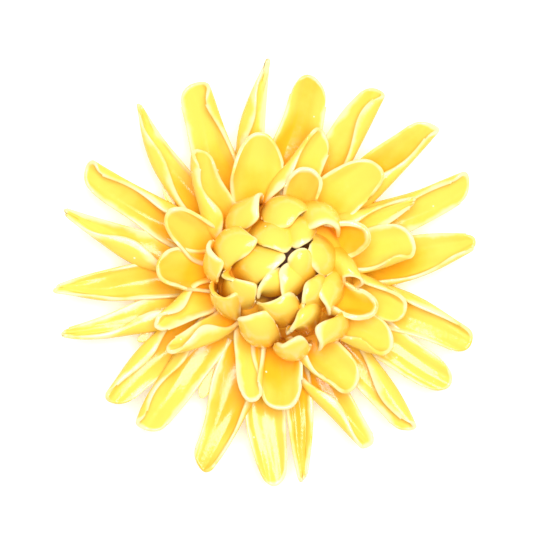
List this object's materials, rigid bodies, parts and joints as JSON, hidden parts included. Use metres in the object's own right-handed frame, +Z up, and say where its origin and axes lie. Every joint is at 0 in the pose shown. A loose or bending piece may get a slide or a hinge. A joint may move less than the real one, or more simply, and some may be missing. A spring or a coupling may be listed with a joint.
{
  "type": "glazed ceramic chrysanthemum bloom",
  "caption": "Yellow glazed ceramic chrysanthemum bloom with folded outer petals, spoon petals over them and a ball of incurved petals at the heart, standing on a flat foot.",
  "frame": {"origin": "centre of the flat foot that the bloom stands on", "axes": "+Z up along the flower's axis, away from the foot; +Y towards the top of the picture and +X towards its right, seen from above"},
  "size_m": [0.1264, 0.1259, 0.0383],
  "materials": {
    "yellow_glaze": "clear gloss glaze"
  },
  "bodies": {
    "root": {"bloom": "yellow_glaze"}
  },
  "joints": []
}
